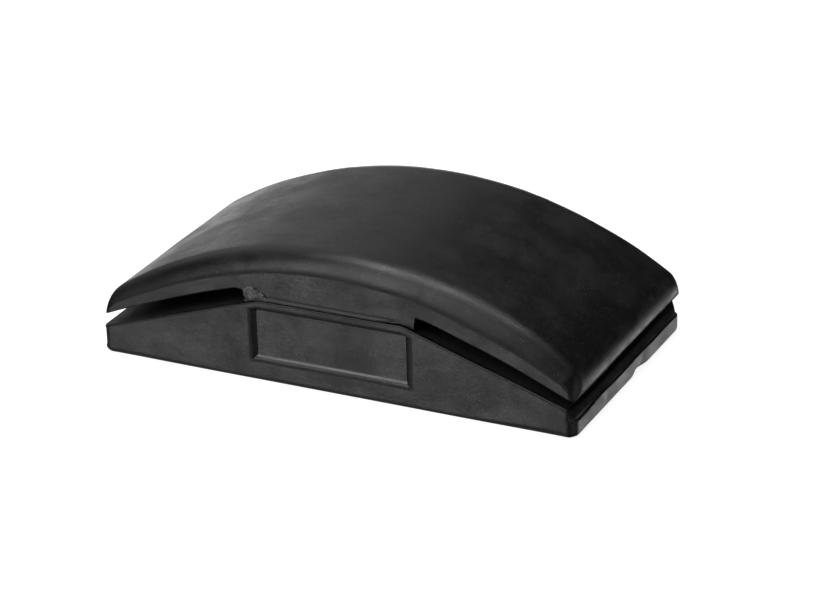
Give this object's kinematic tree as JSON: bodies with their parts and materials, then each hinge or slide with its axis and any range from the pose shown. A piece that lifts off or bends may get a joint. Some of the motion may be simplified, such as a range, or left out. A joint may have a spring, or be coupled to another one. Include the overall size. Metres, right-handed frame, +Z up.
{
  "type": "hand sanding block",
  "caption": "Arched rubber hand sanding block with a lifting flap at each end that grips the end of an abrasive strip.",
  "frame": {"origin": "centre of the flat sole", "axes": "+X along the block, +Y across it, +Z up from the sole to the crown"},
  "size_m": [0.127, 0.0666, 0.0351],
  "materials": {
    "rubber": "satin",
    "pin_steel": "satin"
  },
  "bodies": {
    "block": {"lower_block": "rubber", "crown": "rubber", "left_neck": "rubber", "right_neck": "rubber", "left_pin_front": "pin_steel", "left_pin_middle": "pin_steel", "left_pin_rear": "pin_steel", "right_pin_front": "pin_steel", "right_pin_middle": "pin_steel", "right_pin_rear": "pin_steel"},
    "left_flap": {"left_flap": "rubber"},
    "right_flap": {"right_flap": "rubber"}
  },
  "joints": [
    {"name": "left_flap_hinge", "type": "hinge", "parent": "block", "child": "left_flap", "pos_m": [-0.0262, 0, 0.028], "axis": [0, 1, 0], "range_deg": [-3, 35], "stiffness_Nm_per_rad": 1.1, "deforming": ["left_neck"]},
    {"name": "right_flap_hinge", "type": "hinge", "parent": "block", "child": "right_flap", "pos_m": [0.0262, 0, 0.028], "axis": [0, -1, 0], "range_deg": [-3, 35], "stiffness_Nm_per_rad": 1.1, "deforming": ["right_neck"]}
  ]
}
